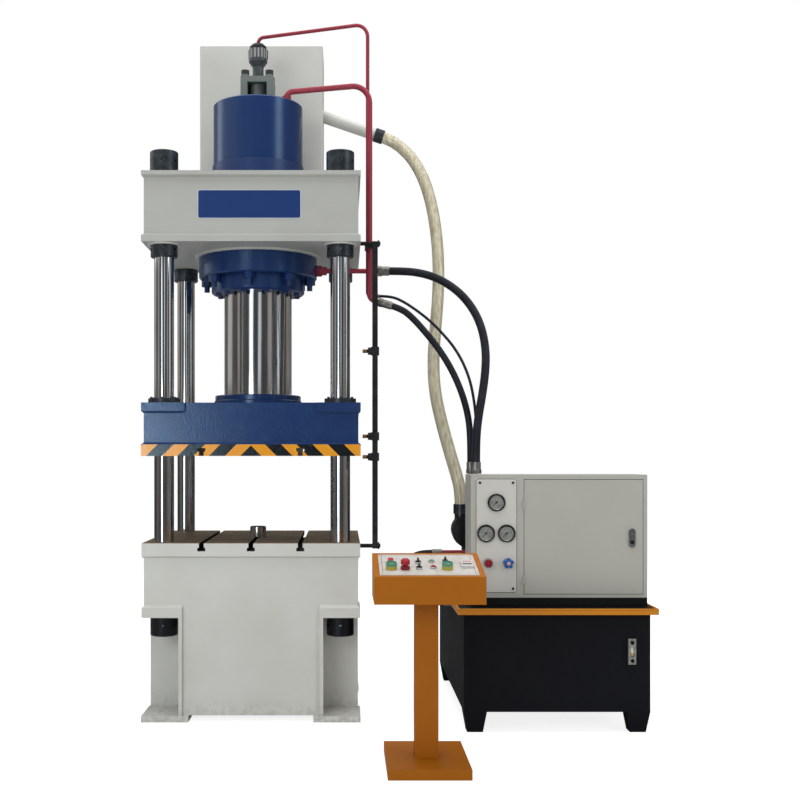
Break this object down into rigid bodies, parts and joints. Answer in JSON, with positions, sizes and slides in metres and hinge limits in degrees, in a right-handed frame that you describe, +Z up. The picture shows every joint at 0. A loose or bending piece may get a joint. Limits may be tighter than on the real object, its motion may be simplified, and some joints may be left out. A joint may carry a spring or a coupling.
{
  "type": "four-column hydraulic press",
  "caption": "Four-column hydraulic press with slotted table and slider, overhead cylinder and filling tank, oil power unit with valve cabinet, and a sloping control console.",
  "frame": {"origin": "on the floor, at the centre of the four anchor holes in the press's feet", "axes": "+X to the operator's right, +Y to the back, +Z up along the ram's stroke"},
  "size_m": [2.901, 2.592, 4.2],
  "materials": {
    "white_enamel": "gloss enamel, off-white",
    "blue_enamel": "gloss enamel",
    "grey_coat": "fine textured powder coat",
    "black_enamel": "satin enamel",
    "orange_coat": "satin powder coat",
    "red_paint": "gloss enamel",
    "machine_grey": "satin enamel",
    "chrome_bar": "hard chrome, polished",
    "black_steel": "blackened",
    "bare_steel": "turned",
    "rail_steel": "mill finish, oiled",
    "zinc_steel": "zinc plated",
    "face_plate": "fine brushed, clear anodised",
    "black_rubber": "braided hose cover",
    "clear_pvc": "clear, wire reinforced",
    "black_plastic": "moulded",
    "green_plastic": "moulded",
    "red_plastic": "moulded",
    "blue_plastic": "moulded",
    "glass": "clear"
  },
  "bodies": {
    "press": {"base_frame": "white_enamel", "columns": "chrome_bar", "round_nuts": "black_steel", "crown_frame": "white_enamel", "main_cylinder": "blue_enamel", "cylinder_gland": "blue_enamel", "cylinder_fasteners": "blue_enamel", "ejector_cylinder": "machine_grey", "prefill_yoke": "machine_grey", "prefill_valve": "black_steel", "filling_tank": "white_enamel", "fill_pipe": "white_enamel", "press_pipes": "red_paint", "hose_clamps": "black_steel", "switch_rail": "rail_steel", "limit_switches": "black_plastic", "oil_tank": "black_enamel", "tank_lid": "orange_coat", "level_gauge": "zinc_steel", "cabinet_shell": "grey_coat", "cabinet_front": "grey_coat", "gauge_panel": "grey_coat", "gauge_cases": "black_steel", "gauge_glasses": "glass", "valve_block": "bare_steel", "return_filter": "machine_grey", "motor": "machine_grey", "pump": "machine_grey", "unit_pipes": "red_paint", "hose_ends": "zinc_steel", "clear_hose": "clear_pvc", "pressure_hose": "black_rubber", "return_hose": "black_rubber", "pilot_hose": "black_rubber", "drain_hose": "black_rubber", "console_stand": "orange_coat", "console_box": "orange_coat", "console_plate": "face_plate", "panel_collars": "black_plastic"},
    "slider": {"ram": "chrome_bar", "ram_flange": "blue_enamel", "slider_frame": "blue_enamel", "guide_covers": "black_steel"},
    "ejector": {"ejector_pin": "bare_steel"},
    "door": {"cabinet_door": "grey_coat", "door_lock": "zinc_steel"},
    "door_button": {"lock_button": "black_plastic"},
    "needle_top": {"gauge_needle_top": "black_plastic"},
    "needle_left": {"gauge_needle_left": "black_plastic"},
    "needle_right": {"gauge_needle_right": "black_plastic"},
    "relief": {"relief_knob": "red_plastic"},
    "shut_off": {"valve_handwheel": "blue_plastic"},
    "two_hand_left": {"two_hand_button_left": "green_plastic"},
    "two_hand_right": {"two_hand_button_right": "green_plastic"},
    "stop": {"stop_button": "red_plastic"},
    "green": {"green_button": "green_plastic"},
    "red": {"red_button": "red_plastic"},
    "selector_rear": {"rear_selector": "black_plastic"},
    "selector_middle": {"middle_selector": "black_plastic"},
    "selector_front": {"front_selector": "black_plastic"}
  },
  "joints": [
    {"name": "slider_stroke", "type": "slide", "parent": "press", "child": "slider", "axis": [0, 0, 1], "range_m": [-0.22, 0.58]},
    {"name": "ejector_stroke", "type": "slide", "parent": "press", "child": "ejector", "axis": [0, 0, 1], "range_m": [-0.065, 0.135]},
    {"name": "door_hinge", "type": "hinge", "parent": "press", "child": "door", "pos_m": [1.551, -0.7124, 1.05], "axis": [0, 0, -1], "range_deg": [0, 105]},
    {"name": "door_latch_button", "type": "slide", "parent": "door", "child": "door_button", "axis": [0, 1, 0], "range_m": [0, 0.004], "stiffness_N_per_m": 400},
    {"name": "needle_top_turn", "type": "hinge", "parent": "press", "child": "needle_top", "pos_m": [1.397, -0.715, 1.27], "axis": [0, 1, 0], "range_deg": [0, 270], "stiffness_Nm_per_rad": 0.002},
    {"name": "needle_left_turn", "type": "hinge", "parent": "press", "child": "needle_left", "pos_m": [1.338, -0.715, 1.096], "axis": [0, 1, 0], "range_deg": [0, 270], "stiffness_Nm_per_rad": 0.002},
    {"name": "needle_right_turn", "type": "hinge", "parent": "press", "child": "needle_right", "pos_m": [1.454, -0.715, 1.096], "axis": [0, 1, 0], "range_deg": [0, 270], "stiffness_Nm_per_rad": 0.002},
    {"name": "relief_turn", "type": "hinge", "parent": "press", "child": "relief", "pos_m": [1.349, -0.73, 0.929], "axis": [0, 1, 0], "range_deg": [-270, 270]},
    {"name": "shut_off_turn", "type": "hinge", "parent": "press", "child": "shut_off", "pos_m": [1.461, -0.73, 0.929], "axis": [0, 1, 0], "range_deg": [-270, 270]},
    {"name": "two_hand_left_press", "type": "slide", "parent": "press", "child": "two_hand_left", "axis": [0, 0.1994, -0.9799], "range_m": [0, 0.004], "stiffness_N_per_m": 600},
    {"name": "two_hand_right_press", "type": "slide", "parent": "press", "child": "two_hand_right", "axis": [0, 0.1994, -0.9799], "range_m": [0, 0.004], "stiffness_N_per_m": 600},
    {"name": "stop_press", "type": "slide", "parent": "press", "child": "stop", "axis": [0, 0.1994, -0.9799], "range_m": [0, 0.004], "stiffness_N_per_m": 600},
    {"name": "green_press", "type": "slide", "parent": "press", "child": "green", "axis": [0, 0.1994, -0.9799], "range_m": [0, 0.004], "stiffness_N_per_m": 600},
    {"name": "red_press", "type": "slide", "parent": "press", "child": "red", "axis": [0, 0.1994, -0.9799], "range_m": [0, 0.004], "stiffness_N_per_m": 600},
    {"name": "selector_rear_turn", "type": "hinge", "parent": "press", "child": "selector_rear", "pos_m": [1.033, -1.5646, 1.02745], "axis": [0, -0.1994, 0.9799], "range_deg": [-45, 45]},
    {"name": "selector_middle_turn", "type": "hinge", "parent": "press", "child": "selector_middle", "pos_m": [0.898, -1.58126, 1.02406], "axis": [0, -0.1994, 0.9799], "range_deg": [-45, 45]},
    {"name": "selector_front_turn", "type": "hinge", "parent": "press", "child": "selector_front", "pos_m": [0.898, -1.6724, 1.00552], "axis": [0, -0.1994, 0.9799], "range_deg": [-45, 45]}
  ]
}
